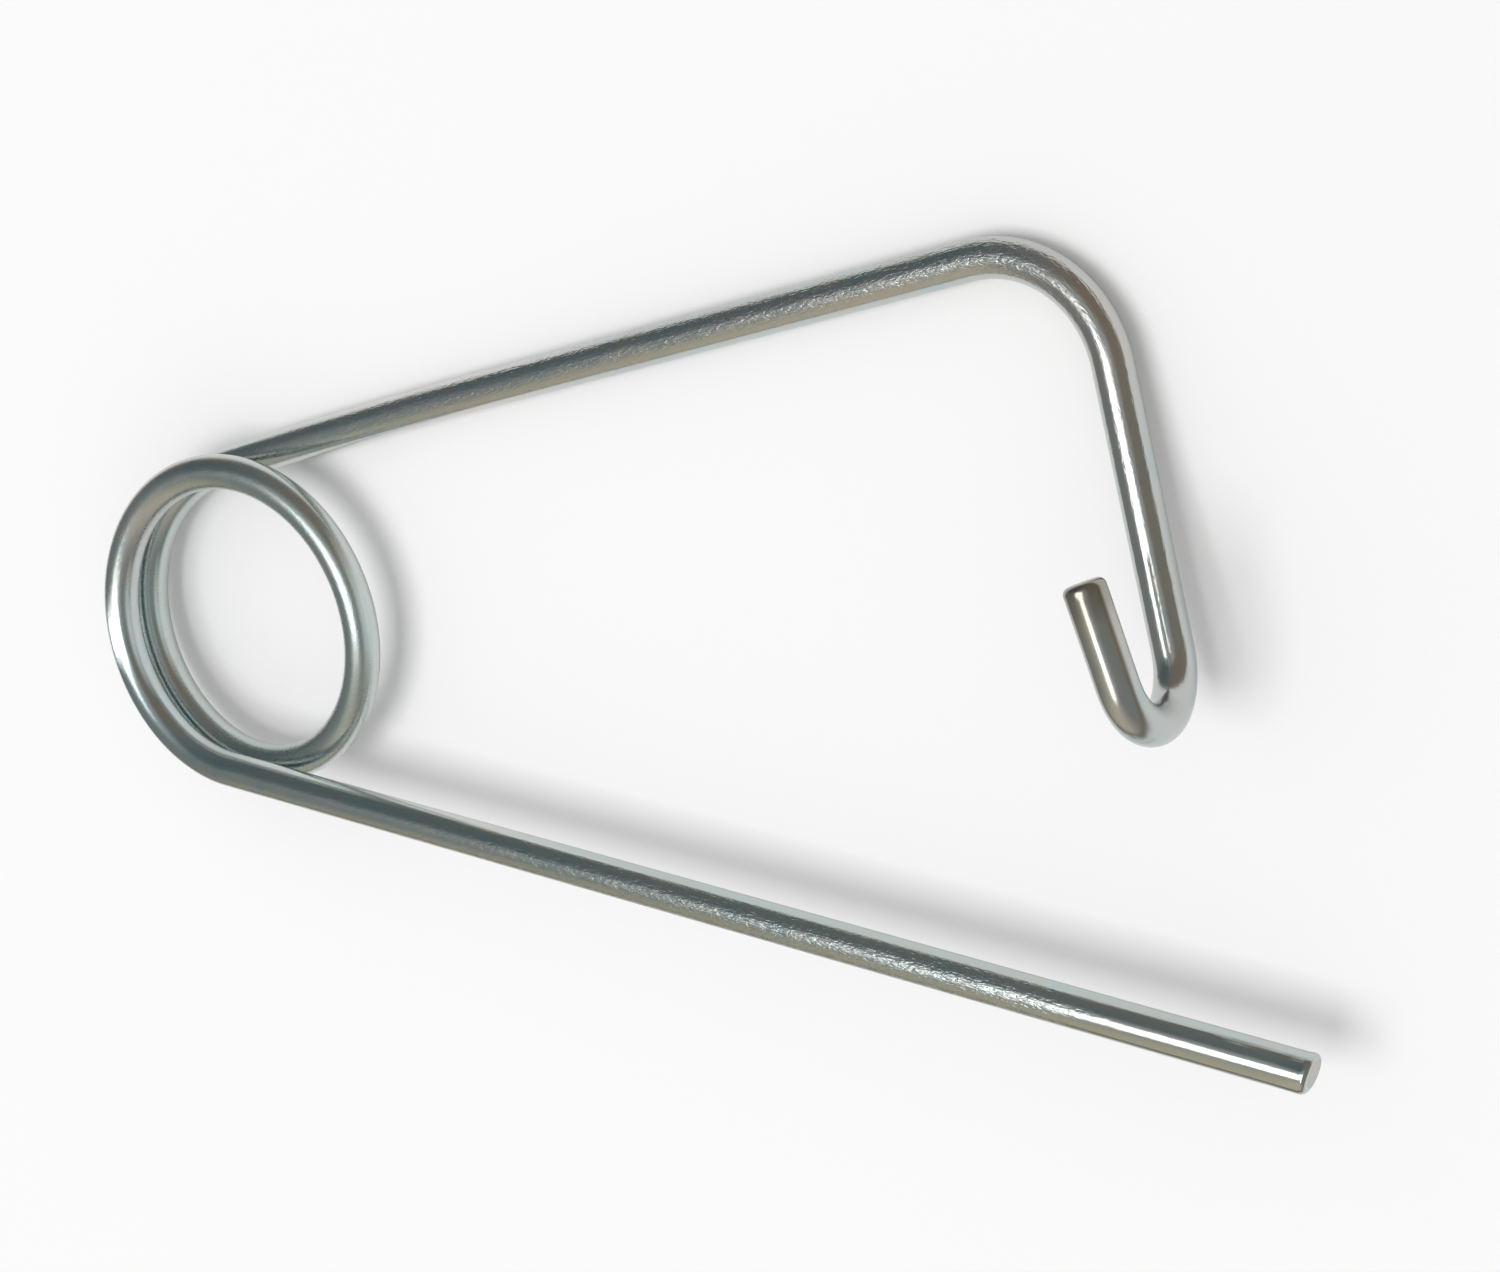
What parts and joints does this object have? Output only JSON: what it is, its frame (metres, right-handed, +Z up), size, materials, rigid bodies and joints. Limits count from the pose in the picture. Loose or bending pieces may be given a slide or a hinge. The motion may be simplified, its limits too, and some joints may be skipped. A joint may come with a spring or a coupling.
{
  "type": "safety cotter pin",
  "caption": "Coiled spring-wire safety pin: a straight pin leg that springs shut under a hook on the arm beside it.",
  "frame": {"origin": "on the coil's axis, at the level of the pin's underside", "axes": "+X along the pin leg from the coil to its tip, +Z up along the coil's axis, +Y from the leg across to the arm"},
  "size_m": [0.1526, 0.0732, 0.0206],
  "materials": {
    "zinc_wire": "bright zinc plating on spring steel wire, lightly scuffed"
  },
  "bodies": {
    "root": {"cotter_pin": "zinc_wire"}
  },
  "joints": []
}
